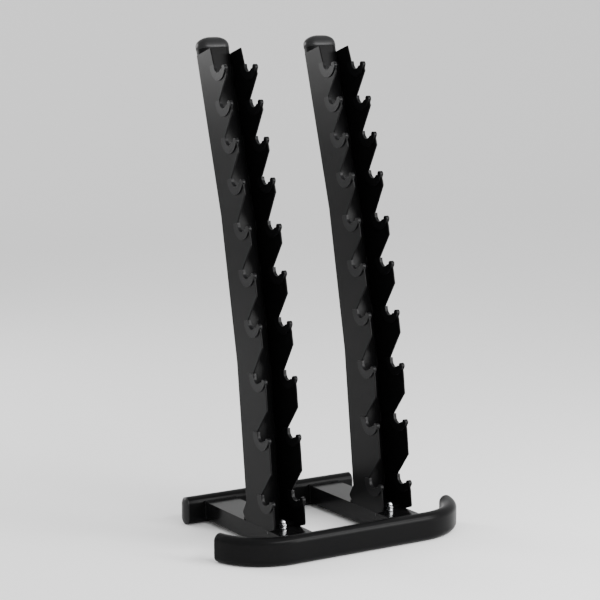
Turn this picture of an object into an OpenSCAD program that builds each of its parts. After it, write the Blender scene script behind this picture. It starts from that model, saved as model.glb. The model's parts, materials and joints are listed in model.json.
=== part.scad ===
// Ten-pair dumbbell rack: two leaning uprights on a low steel base.
// Each upright is a bent flat-oval post with a notched steel plate on each side, and every notch
// carries a clip-on liner, so a dumbbell handle rests across the two plates of one upright.
// Units are millimetres. +Z is up, -Y is the front, and the origin is on the floor at the middle
// of the base.

/* [Base] */
// Distance between the centre lines of the two uprights
upright_spacing = 352; // [300:5:460]
// Distance from the front tube's centre line to the rear tube's
base_depth = 492; // [440:10:620]
// Height of the front and rear tubes' flat-oval section
base_tube_height = 80; // [70:2:90]
// Front-to-back size of the same section
base_tube_depth = 40; // [34:2:44]
// Wall of every steel tube
tube_wall = 2; // [1.5:0.25:2.5]
// Length of the rear tube's steel
rear_tube_length = 552; // [520:4:640]
// Length of the front tube's straight middle
front_straight = 431; // [400:1:520]
// Bend radius of the front tube's ends, to its centre line
front_bend = 162; // [120:6:180]
// Angle through which each end of the front tube turns back
front_sweep = 75; // [60:1:80]
// Height of the two rails that join the tubes
rail_height = 50; // [44:2:56]
// Height from the floor to the rails' undersides
rail_clearance = 15; // [10:1:18]
// Thickness of the flange on each rail's rear end
flange_thickness = 6; // [4:1:8]
// How far that flange stands out round the rail
flange_lip = 2; // [1:0.5:3]

/* [Upright] */
// Width over the outer faces of a pair of hook plates, which is also the rails' width
upright_width = 100; // [99.5:0.5:101.5]
// Width of the post's flat-oval section
post_width = 98; // [96:0.5:98.5]
// Front-to-back size of the same section
post_depth = 50; // [46:2:54]
// How far the foot of the post's centre line is in front of the base's middle
foot_setback = 26; // [10:2:40]
// Height of the post's lowest straight run
lower_run = 438; // [425:1:450]
// Height of the middle straight run
middle_run = 405; // [395:1:415]
// Height of the top straight run
top_run = 470; // [462:2:490]
// Lean of the lowest run from upright
lower_lean = 7; // [5:0.5:8]
// Further lean added at each of the two bends
bend_angle = 5; // [3:0.5:6]
// Radius of those bends, to the post's centre line
post_bend = 300; // [250:10:400]
// Length of post left bare above the plates
bare_top = 15; // [10:1:25]

/* [Hook plates] */
// Thickness of the notched plates
plate_thickness = 4; // [3:0.5:5]
// Distance from the post's centre line to the plates' rear edges
plate_back = -7; // [-9:0.5:-5]
// Distance from the post's centre line to the hooks' front faces
plate_front = 140; // [136:1:146]
// The same distance at the plates' top front corners
plate_top_front = 73; // [68:1:76]
// The same distance at the inner corner under each hook
valley_depth = 79; // [76:1:80]
// The same distance at the middle of the notches
notch_forward = 103; // [102:0.5:105]
// Radius of the notches
notch_radius = 22; // [22:0.5:23]
// Height of the notch centre above the lowest point of the liner
notch_rise = 17; // [16:0.5:19]
// Height of the corner under each hook above the liner below it
valley_rise = 25; // [23:1:28]
// Height of each hook's sloping underside
underside_rise = 60; // [56:1:62]
// Distance along the post from its foot to the lowest liner
first_level = 52; // [46:1:60]
// Distances between neighbouring liners, from the lowest pair up
level_steps = [173, 160, 139, 138, 128, 116, 114, 104, 100];
// Radius of the lowest front corner
toe_radius = 8; // [4:1:10]
// Height of that corner above the foot plate
toe_lift = 2.5; // [1:0.5:4]
// Slope of the bottom edge between that corner and the rail
toe_slope = 20; // [15:1:30]
// Height of the flare behind the post's foot, above the rail
heel_height = 55; // [44:1:60]
// How far that flare reaches behind the post's foot
heel_reach = 31; // [26:1:36]

/* [Liners] */
// Radius of the seat that holds a dumbbell handle
seat_radius = 19; // [16:0.5:19]
// Outer radius of the liners' side lips
lip_radius = 41; // [36:1:42]
// Thickness of each lip, beside the plate
lip_thickness = 3; // [2:0.5:4]
// Radius of the round front horn
horn_radius = 8.5; // [8:0.5:10]
// Height of the horn's centre above the seat's lowest point
horn_rise = 3; // [2:0.5:4]
// Side play between a liner and its plate
liner_play = 0.1; // [0.05:0.05:0.3]

/* [Feet and fasteners] */
// Thickness of the plate under each post
foot_thickness = 6; // [4:1:8]
// Distance from the post's foot to the foot plate's front edge
foot_front = 88; // [80:1:88]
// Distance from the post's foot to its rear edge
foot_rear = 34; // [30:1:40]
// Diameter of the bolt in each rail's top
rail_bolt = 12; // [10:1:12]
// Distance from the post's foot forward to that bolt
rail_bolt_forward = 101; // [101:1:120]
// Diameter of the bolts in the rear flanges
flange_bolt = 10; // [8:1:10]
// Distance between a flange's two bolts
flange_bolt_pitch = 50; // [40:2:60]
// Diameter of the plugs in the rails' sides
plug_size = 6; // [4:1:8]

/* [Caps] */
// How far a cap stands out round its tube
cap_lip = 1; // [0.25:0.25:1.5]
// Height of the straight skirt of the post caps
cap_skirt = 8; // [6:1:12]
// Height of the dome of the post caps
cap_dome = 28; // [20:1:30]
// Radius of the crown that rounds those domes from side to side
cap_crown = 58; // [54:1:80]
// Height of the straight skirt of the base tubes' end caps
end_cap_skirt = 3; // [2:0.5:5]
// Height of the dome of those caps
end_cap_dome = 8; // [4:1:12]
// How deep each cap's plug goes into its tube
plug_depth = 16; // [12:1:20]
// Play between a plug and the wall round it
plug_play = 0.1; // [0.05:0.05:0.3]

/* [Hidden] */
$fn = 64;
levels = len(level_steps) + 1;
rail_width = upright_width;
base_centre = base_tube_height / 2;
rail_top = rail_clearance + rail_height;
seat_z = rail_top + foot_thickness;
plate_top = lower_run + middle_run + top_run - bare_top;
front_y = -base_depth / 2;
rear_y = base_depth / 2;
rail_front = front_y + base_tube_depth / 2;
rail_rear = rear_y - base_tube_depth / 2 - flange_thickness;
plate_inner = upright_width / 2 - plate_thickness;
saddle = sqrt(pow(post_depth / 2, 2) - pow(plate_inner - (post_width - post_depth) / 2, 2)) + 0.6;
lean = [lower_lean, lower_lean + bend_angle, lower_lean + 2 * bend_angle];
run = [lower_run, middle_run, top_run];
bend_trim = post_bend * tan(bend_angle / 2);
bolt_play = 0.5;
thread_play = 0.05;
washer_thickness = 2;
weld_gap = 0.1;
horn_forward = notch_forward + lip_radius - horn_radius - 2;
liner_half = plate_thickness / 2 + lip_thickness;
plate_middle = upright_width / 2 - plate_thickness / 2;
rail_bolt_y = -foot_setback - rail_bolt_forward;
plug_y = rail_bolt_y - 4;
plug_z = rail_top - 6;
arc_steps = 24;
bend_steps = 4;
cut = 1;

// ---- The line of the post, in the Y-Z plane ----

// Unit vector along the post, and the one square to it towards the front
function along(i) = [sin(lean[i]), cos(lean[i])];
function forward(i) = [-cos(lean[i]), sin(lean[i])];

// Start of each run of the post
function run_start(i) = i == 0 ? [-foot_setback, seat_z] : run_start(i - 1) + run[i - 1] * along(i - 1);

// Run that holds a point at distance t along the post, and where that run begins
function run_of(t) = t < run[0] ? 0 : t < run[0] + run[1] ? 1 : 2;
function run_offset(i) = i == 0 ? 0 : run[i - 1] + run_offset(i - 1);

// Point at distance t along the post and distance p in front of its centre line
function at(t, p) = let (i = run_of(t)) run_start(i) + (t - run_offset(i)) * along(i) + p * forward(i);

// The same, for a run that is named, so a corner keeps one frame
function at_run(i, t, p) = run_start(i) + (t - run_offset(i)) * along(i) + p * forward(i);

// Point where the line at distance p in front of the lowest run meets the rail's top
function at_rail(p) = at(-p * tan(lean[0]) - foot_thickness / cos(lean[0]), p);

// Distance along the post to the lowest point of liner k, counted from the bottom
function level(k) = k == 0 ? first_level : level(k - 1) + level_steps[k - 1];

// ---- Shared shapes ----

// Flat-oval section: width along X, depth along Y
module flat_oval(width, depth) {
  square([width - depth, depth], center = true);
  for (side = [-1, 1])
    translate([side * (width - depth) / 2, 0])
      circle(d = depth);
}

// Flat-oval ring, the section of a tube
module flat_oval_ring(width, depth, wall) {
  difference() {
    flat_oval(width, depth);
    flat_oval(width - 2 * wall, depth - 2 * wall);
  }
}

// Places its children on one upright's centre plane: side is -1 for the left, 1 for the right
module at_upright(side) {
  translate([side * upright_spacing / 2, 0, 0])
    children();
}

// Extrudes a Y-Z outline along X from x0 to x1
module extrude_x(x0, x1) {
  translate([x0, 0, 0])
    rotate([90, 0, 90])
      linear_extrude(height = x1 - x0)
        children();
}

// ---- Base tubes ----

// Moves its children to one end of the front tube's bent part, with +Y out of the tube's end
module at_front_end(side) {
  translate([side * front_straight / 2, front_y + front_bend, base_centre])
    rotate([0, 0, side * front_sweep])
      translate([0, -front_bend, 0])
        rotate([0, 0, -side * 90])
          children();
}

module front_tube() {
  color("#1b1c1e")
  union() {
    translate([-front_straight / 2, front_y, base_centre])
      rotate([90, 0, 90])
        linear_extrude(height = front_straight)
          rotate(90)
            flat_oval_ring(base_tube_height, base_tube_depth, tube_wall);
    for (side = [-1, 1])
      translate([side * front_straight / 2, front_y + front_bend, base_centre])
        rotate([0, 0, side < 0 ? -90 - front_sweep : -90])
          rotate_extrude(angle = front_sweep, $fn = 128)
            translate([front_bend, 0])
              rotate(90)
                flat_oval_ring(base_tube_height, base_tube_depth, tube_wall);
  }
}

// Half outline of a cap: a straight skirt under an arc
module cap_outline(half, skirt, dome) {
  arc = (half * half + dome * dome) / (2 * dome);
  intersection() {
    translate([0, skirt + dome - arc])
      circle(r = arc);
    square([half, skirt + dome]);
  }
  square([half, skirt]);
}

// Domed flat-oval cap that stands on the X-Y plane
module domed_cap(width, depth, skirt, dome) {
  straight = width - depth;
  for (x = [-1, 1])
    translate([x * straight / 2, 0, 0])
      rotate([0, 0, -x * 90])
        rotate_extrude(angle = 180)
          cap_outline(depth / 2, skirt, dome);
  for (x = [-1, 1])
    translate([x * straight / 2, 0, 0])
      rotate([90, 0, -x * 90])
        linear_extrude(height = straight)
          cap_outline(depth / 2, skirt, dome);
}

// Cap of a base tube, facing +Y, with a plug behind it that leaves the given play in the tube
module base_cap(plug, play) {
  color("#141516")
  rotate([-90, 0, 0])
    rotate([0, 0, 90]) {
      domed_cap(base_tube_height, base_tube_depth, end_cap_skirt, end_cap_dome);
      translate([0, 0, -plug])
        linear_extrude(height = plug)
          flat_oval(base_tube_height - 2 * (tube_wall + play),
                    base_tube_depth - 2 * (tube_wall + play));
    }
}

// The curved ends take a shorter, looser plug, which stays clear of the bent wall
module front_cap(side) {
  at_front_end(side)
    base_cap(plug_depth / 2, 2);
}

module rear_tube() {
  color("#1b1c1e")
  difference() {
    translate([-rear_tube_length / 2, rear_y, base_centre])
      rotate([90, 0, 90])
        linear_extrude(height = rear_tube_length)
          rotate(90)
            flat_oval_ring(base_tube_height, base_tube_depth, tube_wall);
    at_flange_bolts()
      translate([0, -base_tube_depth - cut, 0])
        rotate([-90, 0, 0])
          cylinder(d = flange_bolt + 2 * bolt_play, h = 2 * base_tube_depth);
  }
}

module rear_cap(side) {
  translate([side * rear_tube_length / 2, rear_y, base_centre])
    rotate([0, 0, -side * 90])
      base_cap(plug_depth, plug_play);
}

// ---- Rails and their flanges ----

module rail(side) {
  color("#202123")
  at_upright(side)
    difference() {
      translate([-rail_width / 2, rail_front, rail_clearance])
        cube([rail_width, rail_rear - rail_front, rail_height]);
      translate([-rail_width / 2 + tube_wall, rail_front - cut, rail_clearance + tube_wall])
        cube([rail_width - 2 * tube_wall, rail_rear - rail_front + 2 * cut,
              rail_height - 2 * tube_wall]);
      translate([0, rail_bolt_y, rail_top - tube_wall - cut])
        cylinder(d = rail_bolt + 2 * bolt_play, h = tube_wall + 2 * cut);
      for (x = [-1, 1])
        translate([x * (rail_width / 2 - tube_wall / 2), plug_y, plug_z])
          rotate([0, 90, 0])
            cylinder(d = plug_size, h = tube_wall + 2 * cut, center = true);
    }
}

// Places its children at each bolt of the rear flanges, on the rear tube's centre line
module at_flange_bolts() {
  for (side = [-1, 1], x = [-1, 1])
    at_upright(side)
      translate([x * flange_bolt_pitch / 2, rear_y, base_centre])
        children();
}

module flange(side) {
  color("#1f2022")
  difference() {
    at_upright(side)
      translate([-rail_width / 2 - flange_lip, rail_rear, rail_clearance - flange_lip])
        cube([rail_width + 2 * flange_lip, flange_thickness, rail_height + 2 * flange_lip]);
    at_flange_bolts()
      translate([0, -base_tube_depth - flange_thickness, 0])
        rotate([-90, 0, 0])
          cylinder(d = flange_bolt + 2 * bolt_play, h = 2 * base_tube_depth);
  }
}

// Hexagon bolt: head above the origin, shank of the given length below it
module hex_bolt(size, length) {
  cylinder(d = 1.7 * size / cos(30), h = 0.64 * size, $fn = 6);
  translate([0, 0, -length])
    cylinder(d = size, h = length);
}

module flange_bolts() {
  color("#3a3c3f")
  at_flange_bolts()
    translate([0, base_tube_depth / 2, 0])
      rotate([-90, 0, 0])
        hex_bolt(flange_bolt, base_tube_depth + flange_thickness + 1.4 * flange_bolt);
}

module flange_nuts() {
  color("#3a3c3f")
  at_flange_bolts()
    translate([0, -base_tube_depth / 2 - flange_thickness, 0])
      rotate([90, 0, 0])
        difference() {
          cylinder(d = 1.7 * flange_bolt / cos(30), h = 0.8 * flange_bolt, $fn = 6);
          translate([0, 0, -cut])
            cylinder(d = flange_bolt + 2 * thread_play, h = flange_bolt + 2 * cut);
        }
}

// ---- Rail bolts and feet of the uprights ----

// Places its children at each rail bolt, at height z
module at_rail_bolts(z) {
  for (side = [-1, 1])
    at_upright(side)
      translate([0, rail_bolt_y, z])
        children();
}

module rail_bolts() {
  color("#c9ccd0")
  at_rail_bolts(rail_top - tube_wall)
    mirror([0, 0, 1])
      hex_bolt(rail_bolt, tube_wall + washer_thickness + 1.2 * rail_bolt);
}

module rail_washers() {
  color("#c9ccd0")
  at_rail_bolts(rail_top)
    difference() {
      cylinder(d = 1.9 * rail_bolt, h = washer_thickness);
      translate([0, 0, -cut])
        cylinder(d = rail_bolt + bolt_play, h = washer_thickness + 2 * cut);
    }
}

// Cap nuts: a hexagon, a short neck and a dome over a blind threaded hole
module rail_nuts() {
  neck = 0.78 * rail_bolt;
  color("#d7dade")
  at_rail_bolts(rail_top + washer_thickness)
    difference() {
      union() {
        cylinder(d = 1.58 * rail_bolt / cos(30), h = 0.8 * rail_bolt, $fn = 6);
        cylinder(r = neck, h = 1.05 * rail_bolt);
        translate([0, 0, 1.05 * rail_bolt])
          sphere(r = neck);
      }
      translate([0, 0, -cut])
        cylinder(d = rail_bolt + 2 * thread_play, h = 1.25 * rail_bolt + cut);
    }
}

module foot_plate(side) {
  width = 2 * (plate_inner - weld_gap);
  color("#17181a")
  at_upright(side)
    translate([-width / 2, -foot_setback - foot_front, rail_top])
      cube([width, foot_front + foot_rear, foot_thickness]);
}

// Push-in plugs that close the holes in the rails' sides
module rail_plugs() {
  color("#0c0c0d")
  for (side = [-1, 1], x = [-1, 1])
    at_upright(side)
      translate([x * rail_width / 2, plug_y, plug_z])
        rotate([0, x * 90, 0]) {
          cylinder(d = plug_size + 1.5, h = 0.8);
          translate([0, 0, -tube_wall - 4])
            cylinder(d = plug_size - 2 * plug_play, h = tube_wall + 4);
        }
}

// ---- Posts ----

// Points round a flat-oval section, width along X and depth along Y
function flat_oval_points(width, depth) = [
  for (side = [1, -1], i = [0 : arc_steps]) let (a = -90 * side + 180 * i / arc_steps)
    [side * (width - depth) / 2 + depth / 2 * cos(a), depth / 2 * sin(a)]
];

// A station is a point on the post's centre line and the direction of its section's depth there
function bend_stations(i) = let (
    start = run_start(i + 1) - bend_trim * along(i),
    middle = start - post_bend * forward(i))
  [for (k = [0 : bend_steps]) let (a = lean[i] + k * bend_angle / bend_steps)
    [middle + post_bend * [-cos(a), sin(a)], [cos(a), -sin(a)]]];

// Stations from the given first one, round both bends, to the post's top
function post_stations(first) = concat(
  [first], bend_stations(0), bend_stations(1),
  [[run_start(2) + run[2] * along(2), -forward(2)]]
);

// Corners of a section, set out at every station
function swept_points(stations, section) = [
  for (s = stations, q = section) [q[0], s[0][0] + q[1] * s[1][0], s[0][1] + q[1] * s[1][1]]
];

// Faces between neighbouring stations, for sections of n corners
function swept_faces(stations, n) = [
  for (i = [0 : len(stations) - 2], j = [0 : n - 1]) let (k = (j + 1) % n)
    [i * n + j, (i + 1) * n + j, (i + 1) * n + k, i * n + k]
];

// Hollow post, cut level at its foot and square at its top
module post(side) {
  stations = post_stations([run_start(0), [1 / cos(lean[0]), 0]]);
  outside = flat_oval_points(post_width, post_depth);
  inside = flat_oval_points(post_width - 2 * tube_wall, post_depth - 2 * tube_wall);
  n = len(outside);
  last = n * (len(stations) - 1);
  inner = n * len(stations);
  color("#1b1c1e")
  at_upright(side)
    polyhedron(concat(swept_points(stations, outside), swept_points(stations, inside)), concat(
      swept_faces(stations, n),
      [for (f = swept_faces(stations, n)) [for (j = [3 : -1 : 0]) inner + f[j]]],
      [for (j = [0 : n - 1]) let (k = (j + 1) % n) [j, k, inner + k, inner + j]],
      [for (j = [0 : n - 1]) let (k = (j + 1) % n)
        [last + j, last + inner + j, last + inner + k, last + k]]
    ));
}

// Frame at the top end of the post, with +Z along it
module at_post_top() {
  top = at_run(2, run_offset(2) + run[2], 0);
  translate([0, top[0], top[1]])
    rotate([-lean[2], 0, 0])
      children();
}

module post_cap(side) {
  color("#121314")
  at_upright(side)
    at_post_top() {
      intersection() {
        domed_cap(post_width + 2 * cap_lip, post_depth + cap_lip, cap_skirt, cap_dome);
        translate([0, 0, cap_skirt + cap_dome - cap_crown])
          rotate([90, 0, 0])
            cylinder(r = cap_crown, h = 2 * post_depth, center = true, $fn = 128);
      }
      translate([0, 0, -plug_depth])
        linear_extrude(height = plug_depth)
          flat_oval(post_width - 2 * (tube_wall + plug_play),
                    post_depth - 2 * (tube_wall + plug_play));
    }
}

// ---- Hook plates ----

// Boundary of one notch, from the corner above it round to the hook's front face
function notch_points(k) = let (t = level(k)) concat(
  [at(t + valley_rise, valley_depth)],
  [for (a = [180 : 10 : 330])
    at(t + notch_rise + notch_radius * sin(a), notch_forward + notch_radius * cos(a))],
  [for (a = [150 : -20 : -10])
    at(t + horn_rise - 4 + (horn_radius - 4) * sin(a), horn_forward + (horn_radius - 4) * cos(a))],
  [at(t - notch_rise, plate_front)],
  k == 0 ? [] : [at(min(level(k - 1) + valley_rise + underside_rise, t - notch_rise - 1), plate_front)]
);

// Points on the round lowest front corner, and the point where its sloping edge meets the rail
function toe_points() = let (
    height = foot_thickness + toe_lift + toe_radius,
    middle = at_rail(plate_front)
      + [height * tan(lean[0]) + toe_radius / cos(lean[0]), height],
    last = middle - toe_radius * [sin(toe_slope), cos(toe_slope)],
    fall = last[1] - rail_top)
  concat(
    [for (i = [0 : 6]) let (a = 180 - lean[0] + i * (90 + lean[0] - toe_slope) / 6)
      middle + toe_radius * [cos(a), sin(a)]],
    [[last[0] + fall / tan(toe_slope), rail_top]]
  );

// Corners of the flare behind the foot, from the rail up to the plate's rear edge
function heel_points() = let (foot = [-foot_setback, rail_top]) [
  at_rail(-heel_reach / 3),
  foot + [0.9 * heel_reach, 0.27 * heel_height],
  foot + [heel_reach, 0.36 * heel_height],
  foot + [heel_reach, 0.43 * heel_height],
  at(heel_height - foot_thickness, plate_back)
];

// Whole outline of a hook plate in the Y-Z plane
module hook_outline() {
  polygon(concat(
    heel_points(),
    [at_run(0, run_offset(1), plate_back), at_run(1, run_offset(2), plate_back)],
    [at(plate_top, plate_back), at(plate_top, plate_top_front)],
    [for (k = [levels - 1 : -1 : 0]) each notch_points(k)],
    toe_points()
  ));
}

// Strip along the post where the plate is cut back to a thin skin, to clear the post's round side
module saddle_strip() {
  polygon([
    at(-post_depth, saddle), at_run(0, run_offset(1), saddle), at_run(1, run_offset(2), saddle),
    at(plate_top + post_depth, saddle), at(plate_top + post_depth, -saddle),
    at_run(1, run_offset(2), -saddle), at_run(0, run_offset(1), -saddle), at(-post_depth, -saddle)
  ]);
}

// Hook plate on one upright; edge is -1 for its left side, 1 for its right side
module hook_plate(side, edge) {
  skin = post_width / 2 + weld_gap;
  color("#1e1f21")
  at_upright(side)
    mirror([edge < 0 ? 1 : 0, 0, 0])
      difference() {
        extrude_x(plate_inner, upright_width / 2)
          hook_outline();
        extrude_x(plate_inner - cut, skin)
          saddle_strip();
      }
}

// ---- Liners ----

// Frame of liner k: origin at the notch centre, X to the front and Y up along the post
module at_notch(k) {
  t = level(k);
  centre = at(t + notch_rise, notch_forward);
  i = run_of(t + notch_rise);
  translate([0, centre[0], centre[1]])
    rotate([-lean[i], 0, 0])
      rotate([90, 0, -90])
        children();
}

// Side view of a liner: a horseshoe with a round horn at its front
module liner_outline() {
  horn = [horn_forward - notch_forward, horn_rise - notch_rise];
  difference() {
    union() {
      difference() {
        circle(r = lip_radius);
        translate([-lip_radius - cut, valley_rise - notch_rise])
          square([2 * lip_radius + 2 * cut, lip_radius]);
        translate([0, horn[1]])
          square([lip_radius + cut, lip_radius]);
      }
      translate(horn)
        circle(r = horn_radius);
    }
    circle(r = seat_radius);
    translate([-seat_radius, 0])
      square([2 * seat_radius, lip_radius]);
  }
}

// Space that the plate takes inside a liner
module liner_slot() {
  horn = [horn_forward - notch_forward, horn_rise - notch_rise - 4];
  difference() {
    translate([-2 * lip_radius, -2 * lip_radius])
      square([4 * lip_radius, 2 * lip_radius + valley_rise]);
    circle(r = notch_radius - liner_play);
    translate([-notch_radius + liner_play, 0])
      square([4 * lip_radius, 2 * lip_radius]);
    translate([0, horn[1]])
      square([4 * lip_radius, 2 * lip_radius]);
  }
  translate(horn)
    circle(r = horn_radius - 4 + liner_play);
  difference() {
    polygon([
      notch_radius * [cos(330), sin(330)] + [0, 2 * liner_play],
      horn + (horn_radius - 4) * [cos(150), sin(150)] + [0, 2 * liner_play],
      horn,
      notch_radius * [cos(300), sin(300)]
    ]);
    circle(r = notch_radius - liner_play);
  }
}

module liner() {
  color("#101112")
  difference() {
    linear_extrude(height = 2 * liner_half, center = true)
      liner_outline();
    linear_extrude(height = plate_thickness + 2 * liner_play, center = true)
      liner_slot();
  }
}

// The two liners of one level of one upright
module liners(side, k) {
  at_upright(side)
    for (edge = [-1, 1])
      translate([edge * plate_middle, 0, 0])
        at_notch(k)
          liner();
}

// ---- Nodes ----

front_tube();
front_cap(-1);  // front_cap_left
front_cap(1);  // front_cap_right
rear_tube();
rear_cap(-1);  // rear_cap_left
rear_cap(1);  // rear_cap_right
rail(-1);  // rail_left
rail(1);  // rail_right
flange(-1);  // flange_left
flange(1);  // flange_right
flange_bolts();
flange_nuts();
foot_plate(-1);  // foot_plate_left
foot_plate(1);  // foot_plate_right
rail_bolts();
rail_washers();
rail_nuts();
rail_plugs();
post(-1);  // post_left
post(1);  // post_right
post_cap(-1);  // post_cap_left
post_cap(1);  // post_cap_right
hook_plate(-1, -1);  // hook_plate_left_outer
hook_plate(-1, 1);  // hook_plate_left_inner
hook_plate(1, -1);  // hook_plate_right_inner
hook_plate(1, 1);  // hook_plate_right_outer
liners(-1, 0);  // liners_left_01
liners(-1, 1);  // liners_left_02
liners(-1, 2);  // liners_left_03
liners(-1, 3);  // liners_left_04
liners(-1, 4);  // liners_left_05
liners(-1, 5);  // liners_left_06
liners(-1, 6);  // liners_left_07
liners(-1, 7);  // liners_left_08
liners(-1, 8);  // liners_left_09
liners(-1, 9);  // liners_left_10
liners(1, 0);  // liners_right_01
liners(1, 1);  // liners_right_02
liners(1, 2);  // liners_right_03
liners(1, 3);  // liners_right_04
liners(1, 4);  // liners_right_05
liners(1, 5);  // liners_right_06
liners(1, 6);  // liners_right_07
liners(1, 7);  // liners_right_08
liners(1, 8);  // liners_right_09
liners(1, 9);  // liners_right_10
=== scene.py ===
# %% [markdown]
# # A dumbbell rack in black powder coat
#
# The rack is a low base of two flat-oval tubes and two rails. Two bent posts lean back from it.
# Each post carries a notched steel plate on both sides, and every notch has a plastic liner, so
# the handle of a dumbbell can lie across the pair of plates.
#
# The exact shapes come from the CAD model. This lesson adds what CAD leaves out: soft edges that
# catch the light, weld beads, and finishes with the fine texture of real paint and plastic.

import json
import math

import bmesh
import bpy
from mathutils import Matrix, Vector
from mathutils.bvhtree import BVHTree


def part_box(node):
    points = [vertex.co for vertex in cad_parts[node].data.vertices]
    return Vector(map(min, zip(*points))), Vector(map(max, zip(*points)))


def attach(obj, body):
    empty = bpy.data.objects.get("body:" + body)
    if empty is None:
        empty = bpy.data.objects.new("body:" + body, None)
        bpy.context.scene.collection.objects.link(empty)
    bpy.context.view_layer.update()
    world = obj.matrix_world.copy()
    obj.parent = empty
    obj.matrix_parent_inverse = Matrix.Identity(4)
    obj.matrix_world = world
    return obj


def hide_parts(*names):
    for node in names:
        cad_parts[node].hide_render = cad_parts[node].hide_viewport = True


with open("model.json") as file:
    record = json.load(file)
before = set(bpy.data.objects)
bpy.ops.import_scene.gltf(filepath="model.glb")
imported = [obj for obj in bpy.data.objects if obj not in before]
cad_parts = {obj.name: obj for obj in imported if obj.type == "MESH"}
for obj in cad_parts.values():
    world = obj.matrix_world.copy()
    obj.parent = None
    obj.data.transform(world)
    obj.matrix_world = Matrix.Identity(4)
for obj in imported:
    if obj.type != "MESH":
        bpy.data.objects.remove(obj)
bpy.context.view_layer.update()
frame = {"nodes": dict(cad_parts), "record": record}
nodes = frame["nodes"]
print("CAD nodes:", len(nodes))

# %% [markdown]
# ## Camera
#
# A long lens from the front left, a little above the rack's middle. A long lens keeps the uprights
# nearly parallel, the way product pictures show them. The camera comes first, so every later step
# can be judged from the same place.

# %% Camera
heading = math.radians(31.63)
pitch = math.radians(9.305)

camera_data = bpy.data.cameras.new("camera")
camera_data.sensor_width = 36.0
camera_data.lens = 116.34
camera_data.shift_x = -0.0123
camera_data.shift_y = 0.0015
camera_data.clip_end = 60.0
camera = bpy.data.objects.new("camera", camera_data)
camera.location = (-2.8095, -4.5302, 1.5343)
camera.rotation_euler = (math.pi / 2 - pitch, 0.0, -heading)
bpy.context.collection.objects.link(camera)
bpy.context.scene.camera = camera
print("camera distance from the origin:", round(camera.location.length, 2), "m")

# %% [markdown]
# ## Studio
#
# Black paint shows mostly what it reflects, so the studio decides which faces read grey and which
# stay black. The floor is one large pale sheet that rises into a backdrop far behind, so no
# horizon shows. A long strip above the front puts the bright line on the bent tube. An upright
# panel at the front right lights the front edges of the hooks. A third one, at the rear left, is
# mirrored mostly in the upper part of the uprights, so they fade from grey to black.


# %% Floor
def plain_material(name, colour, roughness):
    material = bpy.data.materials.new(name)
    material.use_nodes = True
    shader = material.node_tree.nodes["Principled BSDF"]
    shader.inputs["Base Color"].default_value = (*colour, 1.0)
    shader.inputs["Roughness"].default_value = roughness
    shader.inputs["Specular IOR Level"].default_value = 0.1
    return material


def stage_mesh(name, points, faces, material):
    mesh = bpy.data.meshes.new(name)
    mesh.from_pydata(points, [], faces)
    mesh.polygons.foreach_set("use_smooth", [True] * len(faces))
    mesh.materials.append(material)
    sheet = bpy.data.objects.new(name, mesh)
    bpy.context.collection.objects.link(sheet)
    return sheet


floor_front, floor_rear, floor_half_width = -9.0, 6.0, 14.0
sweep_radius, backdrop_height = 3.0, 12.0
curve = [(floor_rear + sweep_radius * math.sin(math.radians(a)),
          sweep_radius - sweep_radius * math.cos(math.radians(a))) for a in range(0, 91, 10)]
profile = [(floor_front, 0.0)] + curve + [(floor_rear + sweep_radius, backdrop_height)]
edges_x = (-floor_half_width, floor_half_width)
floor = stage_mesh("floor", [(x, y, z) for y, z in profile for x in edges_x],
                   [(2 * i, 2 * i + 1, 2 * i + 3, 2 * i + 2) for i in range(len(profile) - 1)],
                   plain_material("pale floor", (0.93, 0.93, 0.93), 0.9))
print("floor sheet:", len(floor.data.polygons), "faces")


# %% Lights
def soft_panel(name, place, target, width, height, watts):
    light = bpy.data.lights.new(name, "AREA")
    light.shape = "RECTANGLE"
    light.size = width
    light.size_y = height
    light.energy = watts
    panel = bpy.data.objects.new(name, light)
    panel.location = place
    direction = Vector(target) - Vector(place)
    panel.rotation_euler = direction.to_track_quat("-Z", "Y").to_euler()
    panel.visible_camera = False
    bpy.context.collection.objects.link(panel)
    return panel


soft_panel("strip above the front", (0.9, -2.4, 2.3), (0.0, 0.0, 0.1), 3.2, 0.35, 110.0)
soft_panel("front right panel", (1.9, -2.9, 1.2), (0.0, 0.0, 0.7), 1.0, 1.5, 90.0)
soft_panel("rear left panel", (-2.0, 3.2, 1.9), (-0.2, 0.0, 1.1), 1.7, 1.4, 85.0)

world = bpy.data.worlds.new("studio air")
world.use_nodes = True
world.node_tree.nodes["Background"].inputs["Color"].default_value = (1.0, 1.0, 1.0, 1.0)
world.node_tree.nodes["Background"].inputs["Strength"].default_value = 1.1
bpy.context.scene.world = world

# %% [markdown]
# ## Finishes
#
# Powder coat is melted powder. It is never quite flat: a fine orange-peel ripple breaks up its
# reflections, and the sheen changes a little from place to place. Both come from noise that reads
# Object coordinates in metres, so the grain keeps its real size on every piece.


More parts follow.
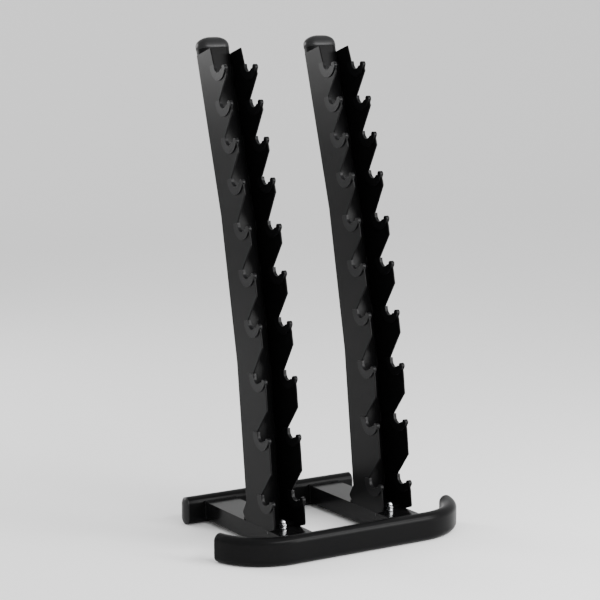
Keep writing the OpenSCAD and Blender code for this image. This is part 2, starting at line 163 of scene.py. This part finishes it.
# %% Helper for textured finishes
def textured_finish(name, colour, roughness, ripple_size, ripple_height, sheen_change=0.06,
                    colour_change=0.35, metallic=0.0, specular=0.25):
    """A finish with a fine ripple in its surface and slow changes in colour and gloss."""
    material = bpy.data.materials.new(name)
    material.use_nodes = True
    tree = material.node_tree
    shader = tree.nodes["Principled BSDF"]
    shader.inputs["Metallic"].default_value = metallic
    shader.inputs["Specular IOR Level"].default_value = specular
    place = tree.nodes.new("ShaderNodeTexCoord")

    ripple = tree.nodes.new("ShaderNodeTexNoise")
    ripple.inputs["Scale"].default_value = 1.0 / ripple_size
    ripple.inputs["Detail"].default_value = 3.0
    tree.links.new(place.outputs["Object"], ripple.inputs["Vector"])
    bump = tree.nodes.new("ShaderNodeBump")
    bump.inputs["Strength"].default_value = 0.5
    bump.inputs["Distance"].default_value = ripple_height
    tree.links.new(ripple.outputs["Fac"], bump.inputs["Height"])
    tree.links.new(bump.outputs["Normal"], shader.inputs["Normal"])

    patch = tree.nodes.new("ShaderNodeTexNoise")
    patch.inputs["Scale"].default_value = 9.0
    patch.inputs["Detail"].default_value = 4.0
    tree.links.new(place.outputs["Object"], patch.inputs["Vector"])
    gloss = tree.nodes.new("ShaderNodeMapRange")
    gloss.inputs["To Min"].default_value = roughness - sheen_change
    gloss.inputs["To Max"].default_value = roughness + sheen_change
    tree.links.new(patch.outputs["Fac"], gloss.inputs["Value"])
    tree.links.new(gloss.outputs["Result"], shader.inputs["Roughness"])

    speckle = tree.nodes.new("ShaderNodeTexNoise")
    speckle.inputs["Scale"].default_value = 0.6 / ripple_size
    speckle.inputs["Detail"].default_value = 5.0
    tree.links.new(place.outputs["Object"], speckle.inputs["Vector"])
    tint = tree.nodes.new("ShaderNodeValToRGB")
    tint.color_ramp.elements[0].position = 0.3
    tint.color_ramp.elements[1].position = 0.7
    tint.color_ramp.elements[0].color = (*[c * (1 - colour_change) for c in colour], 1.0)
    tint.color_ramp.elements[1].color = (*[c * (1 + colour_change) for c in colour], 1.0)
    tree.links.new(speckle.outputs["Fac"], tint.inputs["Fac"])
    tree.links.new(tint.outputs["Color"], shader.inputs["Base Color"])
    return material


# %% The finishes of this rack
satin_coat = textured_finish("satin powder coat", (0.004, 0.004, 0.0042), 0.30, 0.0011, 0.00005,
                             specular=0.06)
gloss_coat = textured_finish("gloss powder coat", (0.004, 0.004, 0.0042), 0.16, 0.0022, 0.00004,
                             sheen_change=0.04, specular=0.07)
cap_plastic = textured_finish("moulded cap plastic", (0.010, 0.010, 0.0105), 0.38, 0.0007, 0.00006,
                              specular=0.2)
liner_plastic = textured_finish("liner plastic", (0.006, 0.006, 0.0064), 0.30, 0.0009, 0.00002,
                                specular=0.09)
bright_zinc = textured_finish("bright zinc", (0.70, 0.71, 0.73), 0.22, 0.0008, 0.00002,
                              colour_change=0.08, metallic=1.0, specular=0.5)
black_zinc = textured_finish("black zinc", (0.05, 0.05, 0.055), 0.35, 0.0008, 0.00002,
                             colour_change=0.2, metallic=1.0, specular=0.5)
print("finishes:", [m.name for m in bpy.data.materials])

# %% Give each CAD node its finish
finish_by_slot = {
    "black_paint": satin_coat,
    "gloss_black_paint": gloss_coat,
    "cap_plastic": cap_plastic,
    "liner_plastic": liner_plastic,
    "bright_zinc": bright_zinc,
    "black_zinc": black_zinc,
}
slot_of = {part["node"]: part["material_slot"] for part in frame["record"]["subparts"]}
for name, node in nodes.items():
    node.data.materials.clear()
    node.data.materials.append(finish_by_slot[slot_of[name]])
print("finishes set on", len(nodes), "nodes")

# %% [markdown]
# ## Softened edges
#
# A laser-cut plate or a moulded liner has no perfectly sharp edge. A tiny round along each edge
# catches a line of light, and on a black object those lines draw the shape. The node's mesh is
# copied, its loose triangles are welded and merged into flat faces, and a Bevel modifier rounds
# what is left.


# %% Helper that adds a piece to the rack
def add_piece(name, mesh, stands_for=None):
    """Put a finished mesh in the scene as a piece that rides on the rack's one body."""
    piece = bpy.data.objects.new(name, mesh)
    bpy.context.collection.objects.link(piece)
    if stands_for:
        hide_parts(stands_for)
    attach(piece, "root")
    return piece


# %% Helper that makes a softened copy of a node
def softened(name, width, segments=2, angle=30.0, largest_smooth=0.0004):
    """A welded copy of a node with bevelled edges. Faces above largest_smooth (m2) stay flat."""
    mesh = nodes[name].data.copy()
    shape = bmesh.new()
    shape.from_mesh(mesh)
    bmesh.ops.remove_doubles(shape, verts=shape.verts, dist=1e-6)
    bmesh.ops.dissolve_limit(shape, angle_limit=math.radians(1.0), verts=shape.verts,
                             edges=shape.edges)
    shape.to_mesh(mesh)
    shape.free()
    mesh.polygons.foreach_set("use_smooth", [face.area < largest_smooth for face in mesh.polygons])
    piece = add_piece("soft_" + name, mesh, name)
    bevel = piece.modifiers.new("edge", "BEVEL")
    bevel.width = width
    bevel.segments = segments
    bevel.limit_method = "ANGLE"
    bevel.angle_limit = math.radians(angle)
    return piece


# %% Soften the plates and the small steel parts
for name in nodes:
    if name.startswith("hook_plate"):
        softened(name, 0.0006)
    elif name.startswith(("foot_plate", "flange_left", "flange_right")):
        softened(name, 0.0008)
    elif name in ("rail_nuts", "rail_washers", "flange_bolts", "flange_nuts"):
        softened(name, 0.0006)

# %% Helper that makes a smooth-shaded copy of a domed node
def smoothed(name, crease=35.0):
    """A cap is a dome over a plug. Its facets are shaded as one surface up to the crease angle."""
    mesh = nodes[name].data.copy()
    shape = bmesh.new()
    shape.from_mesh(mesh)
    bmesh.ops.remove_doubles(shape, verts=shape.verts, dist=1e-6)
    for face in shape.faces:
        face.smooth = True
    for edge in shape.edges:
        edge.smooth = edge.calc_face_angle(0.0) < math.radians(crease)
    shape.to_mesh(mesh)
    shape.free()
    return add_piece("smooth_" + name, mesh, name)


# %% Soften the liners and smooth the caps
for name in nodes:
    if name.startswith("liners"):
        softened(name, 0.0010, 3)
    elif "_cap_" in name and not name.startswith("post_cap"):
        smoothed(name)

# %% [markdown]
# ## Post caps
#
# The cap on a post is a moulded dome with a short straight skirt, and it stands along the leaning
# post. Its height, width and depth come from the CAD cap. The dome is built as rings of one
# flat-oval outline, each ring smaller and higher than the last one along a superellipse, which
# stays full at the shoulder and rounds over smoothly at the top.


# %% Helper that builds a post cap
lean = math.radians(17.0)
base_to_top, skirt_height, dome_height = 0.036, 0.008, 0.0273
wall, rim_round, fullness, ring_count = 0.0022, 0.0008, 2.3, 12


def flat_oval(half_width, half_depth, count=16):
    points = []
    for side, first in ((1, -90.0), (-1, 90.0)):
        for i in range(count + 1):
            angle = math.radians(first + 180.0 * i / count)
            points.append((side * (half_width - half_depth) + half_depth * math.cos(angle),
                           half_depth * math.sin(angle)))
    return points


def post_cap(name):
    leaned = Matrix.Rotation(-lean, 3, "X")
    local = [leaned.inverted() @ v.co for v in nodes[name].data.vertices]
    low = Vector([min(p[i] for p in local) for i in range(3)])
    high = Vector([max(p[i] for p in local) for i in range(3)])
    middle, half = (low + high) / 2, (high - low) / 2 - Vector((0.0001, 0.0001, 0.0))
    base = high.z - base_to_top
    rings = [(half.x - wall, half.y - wall, low.z), (half.x - wall, half.y - wall, base)]
    rings += [(half.x - rim_round, half.y - rim_round, base), (half.x, half.y, base + rim_round),
              (half.x, half.y, base + skirt_height)]
    for i in range(1, ring_count):
        angle = math.radians(90.0 * i / ring_count)
        shrink = math.cos(angle) ** (2 / fullness)
        rings.append((half.x * shrink, half.y * shrink,
                      base + skirt_height + dome_height * math.sin(angle) ** (2 / fullness)))
    shape = bmesh.new()
    rows = [[shape.verts.new(leaned @ Vector((middle.x + x, middle.y + y, z)))
             for x, y in flat_oval(a, b)] for a, b, z in rings]
    count = len(rows[0])
    for below, above in zip(rows, rows[1:]):
        for i in range(count):
            j = (i + 1) % count
            shape.faces.new((below[i], below[j], above[j], above[i]))
    top = shape.verts.new(leaned @ Vector((middle.x, middle.y, base + skirt_height + dome_height)))
    for i in range(count):
        shape.faces.new((rows[-1][i], rows[-1][(i + 1) % count], top))
    shape.faces.new(rows[0][::-1])
    bmesh.ops.recalc_face_normals(shape, faces=shape.faces)
    for face in shape.faces:
        face.smooth = True
    for edge in shape.edges:
        edge.smooth = edge.calc_face_angle(0.0) < math.radians(50.0)
    mesh = bpy.data.meshes.new("domed_" + name)
    shape.to_mesh(mesh)
    shape.free()
    mesh.materials.append(cap_plastic)
    print(name, "width", round(2 * half.x, 4), "depth", round(2 * half.y, 4))
    return add_piece("domed_" + name, mesh, name)


# %% Both post caps
for side in ("left", "right"):
    post_cap("post_cap_" + side)

# %% [markdown]
# ## Weld beads
#
# The rails are welded to the front tube and to the flanges, and the plates are tacked to the posts
# with a short stitch at each cradle. A bead is a row of overlapping drops of metal, so Geometry
# Nodes suit it: a path is cut into equal steps, and a small flattened ball is set on each step,
# with its size varied a little by a fixed seed. Every path is found from the CAD pieces: the
# corners of a rail from its box, and the corner between post and plate by a ray onto the post.
# The modifier's result is turned into a plain mesh, so nothing is left to evaluate later.


# %% The bead tree
def bead_tree(material):
    tree = bpy.data.node_groups.new("weld bead", "GeometryNodeTree")
    face = tree.interface
    face.new_socket("Geometry", in_out="INPUT", socket_type="NodeSocketGeometry")
    for label, value in (("Drop spacing", 0.0022), ("Drop radius", 0.0026), ("Unevenness", 0.18)):
        face.new_socket(label, in_out="INPUT", socket_type="NodeSocketFloat").default_value = value
    face.new_socket("Seed", in_out="INPUT", socket_type="NodeSocketInt").default_value = 7
    face.new_socket("Geometry", in_out="OUTPUT", socket_type="NodeSocketGeometry")
    add, link = tree.nodes.new, tree.links.new
    given, result = add("NodeGroupInput"), add("NodeGroupOutput")
    path = add("GeometryNodeMeshToCurve")
    link(given.outputs["Geometry"], path.inputs["Mesh"])
    steps = add("GeometryNodeResampleCurve")
    steps.mode = "LENGTH"
    link(path.outputs["Curve"], steps.inputs["Curve"])
    link(given.outputs["Drop spacing"], steps.inputs["Length"])
    ball = add("GeometryNodeMeshIcoSphere")
    ball.inputs["Subdivisions"].default_value = 2
    link(given.outputs["Drop radius"], ball.inputs["Radius"])
    low, high = add("ShaderNodeMath"), add("ShaderNodeMath")
    low.operation, high.operation = "SUBTRACT", "ADD"
    for node in (low, high):
        node.inputs[0].default_value = 1.0
        link(given.outputs["Unevenness"], node.inputs[1])
    size = add("FunctionNodeRandomValue")
    link(low.outputs[0], size.inputs[2])
    link(high.outputs[0], size.inputs[3])
    link(given.outputs["Seed"], size.inputs["Seed"])
    drops = add("GeometryNodeInstanceOnPoints")
    link(steps.outputs["Curve"], drops.inputs["Points"])
    link(ball.outputs["Mesh"], drops.inputs["Instance"])
    link(size.outputs[1], drops.inputs["Scale"])
    whole, finish = add("GeometryNodeRealizeInstances"), add("GeometryNodeSetMaterial")
    finish.inputs["Material"].default_value = material
    link(drops.outputs["Instances"], whole.inputs["Geometry"])
    link(whole.outputs["Geometry"], finish.inputs["Geometry"])
    link(finish.outputs["Geometry"], result.inputs["Geometry"])
    return tree


beads = bead_tree(satin_coat)
print("bead tree inputs:",
      [item.name for item in beads.interface.items_tree if item.in_out == "INPUT"])


# %% Paths along the rails
def rail_joint(name, end):
    (x0, y0, z0), (x1, y1, z1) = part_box(name)
    y = y0 + 0.0006 if end == "front" else y1 - 0.0006
    return [(x0, y, z0), (x0, y, z1), (x1, y, z1), (x1, y, z0)]


rail_paths = [rail_joint(name, end) for name in ("rail_left", "rail_right")
              for end in ("front", "rear")]
print("rail joints:", len(rail_paths))


# %% Stitches between posts and plates
def stitch(post_surface, x, z, length=0.03, steps=4):
    """Points down the corner between a post and a plate, just proud of the post's face."""
    points = []
    for i in range(steps):
        height = z + length * (i / (steps - 1) - 0.5)
        hit = post_surface.ray_cast(Vector((x, -1.0, height)), Vector((0.0, 1.0, 0.0)))[0]
        if hit is not None:
            points.append(tuple(hit))
    return points


def surface_of(name):
    shape = bmesh.new()
    shape.from_mesh(nodes[name].data)
    tree = BVHTree.FromBMesh(shape)
    shape.free()
    return tree


stitch_paths = []
for side in ("left", "right"):
    surface = surface_of("post_" + side)
    inner_edges = []
    for edge in ("inner", "outer"):
        (x0, _, _), (x1, _, _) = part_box(f"hook_plate_{side}_{edge}")
        middle = (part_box("post_" + side)[0][0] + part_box("post_" + side)[1][0]) / 2
        inner_edges.append(min((x0, x1), key=lambda x: abs(x - middle)))
    for level in range(1, 11):
        (_, _, z0), (_, _, z1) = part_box(f"liners_{side}_{level:02d}")
        for x in inner_edges:
            inset = 0.0008 if x < middle else -0.0008
            stitch_paths.append(stitch(surface, x + inset, (z0 + z1) / 2))
print("stitches:", len(stitch_paths))


# %% Turn the paths into beads
def weld(name, paths, radius):
    mesh = bpy.data.meshes.new(name + "_path")
    points = [p for path in paths for p in path]
    edges, start = [], 0
    for path in paths:
        edges += [(start + i, start + i + 1) for i in range(len(path) - 1)]
        start += len(path)
    mesh.from_pydata(points, edges, [])
    guide = bpy.data.objects.new(name + "_path", mesh)
    bpy.context.collection.objects.link(guide)
    modifier = guide.modifiers.new("bead", "NODES")
    modifier.node_group = beads
    for item in beads.interface.items_tree:
        if item.name == "Drop radius":
            modifier[item.identifier] = radius
    bpy.context.view_layer.update()
    seen = guide.evaluated_get(bpy.context.evaluated_depsgraph_get())
    result = bpy.data.meshes.new_from_object(seen)
    result.polygons.foreach_set("use_smooth", [True] * len(result.polygons))
    bpy.data.objects.remove(guide)
    print(name, "has", len(result.polygons), "faces")
    return add_piece(name, result)


weld("rail_welds", rail_paths, 0.0026)
weld("plate_welds", stitch_paths, 0.0020)
